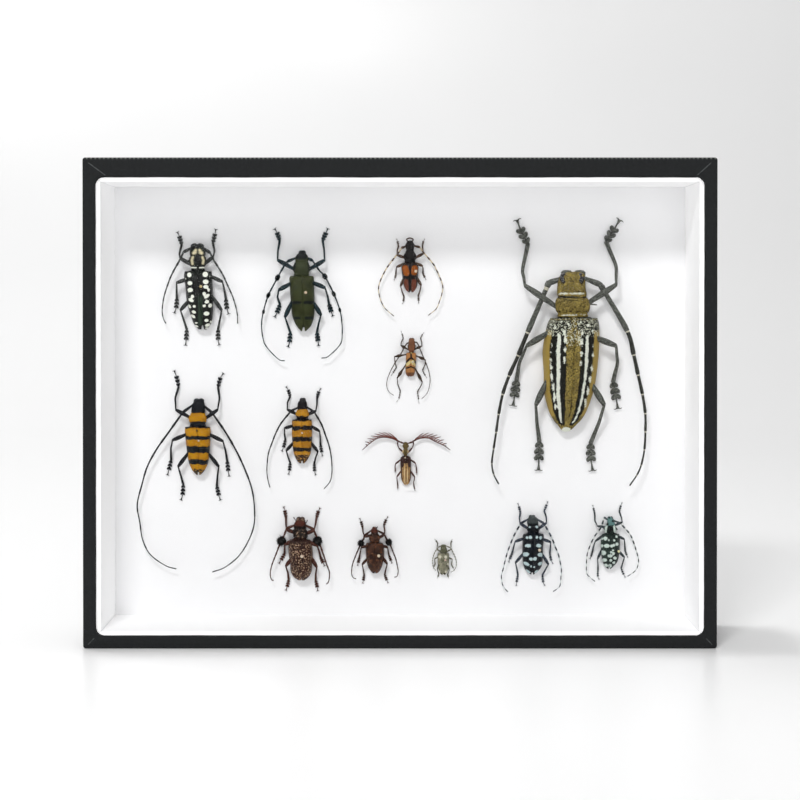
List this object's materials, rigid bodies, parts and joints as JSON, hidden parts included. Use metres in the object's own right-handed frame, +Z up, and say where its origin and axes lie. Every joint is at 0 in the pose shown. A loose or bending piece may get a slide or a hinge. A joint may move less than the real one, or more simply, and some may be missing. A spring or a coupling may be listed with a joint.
{
  "type": "beetle specimen box",
  "caption": "Upright black cloth-covered display box with a glass front, white lining and longhorn beetles pinned to a white panel.",
  "frame": {"origin": "middle of the underside of the box, as it stands on its long edge", "axes": "+Z up, -Y out of the glass front, +X to the right of someone who looks at the front"},
  "size_m": [0.31, 0.054, 0.24],
  "materials": {
    "bookcloth": "black woven bookcloth over board",
    "lining": "white card, matt",
    "panel": "white closed foam, matt",
    "window": "clear pane",
    "white_spotted": "black shell with white spots",
    "green": "olive green shell with black bands",
    "orange_shouldered": "orange and red-brown shell, black head",
    "slender_banded": "tan shell with dark bands",
    "giant": "khaki and black shell with white stripes",
    "banded": "orange shell with black bands",
    "feather_horned": "tan shell with dark front",
    "brown_rough": "dark brown granular shell, pale speckles",
    "brown_smooth": "red-brown shell",
    "grey_speckled": "grey-green downy shell with dark speckles",
    "blue_spotted": "blue-black shell with pale spots",
    "teal_spotted": "black shell with pale blue-green spots"
  },
  "bodies": {
    "root": {"base_tray": "bookcloth", "lid_frame": "bookcloth", "glass_pane": "window", "liner": "lining", "foam_panel": "panel", "paper_slip": "lining", "beetle_white_spotted": "white_spotted", "beetle_green_tufted": "green", "beetle_orange_shouldered": "orange_shouldered", "beetle_slender_banded": "slender_banded", "beetle_giant_striped": "giant", "beetle_banded_large": "banded", "beetle_banded_small": "banded", "beetle_feather_horned": "feather_horned", "beetle_brown_rough": "brown_rough", "beetle_brown_smooth": "brown_smooth", "beetle_grey_speckled": "grey_speckled", "beetle_blue_spotted": "blue_spotted", "beetle_teal_spotted": "teal_spotted"}
  },
  "joints": []
}
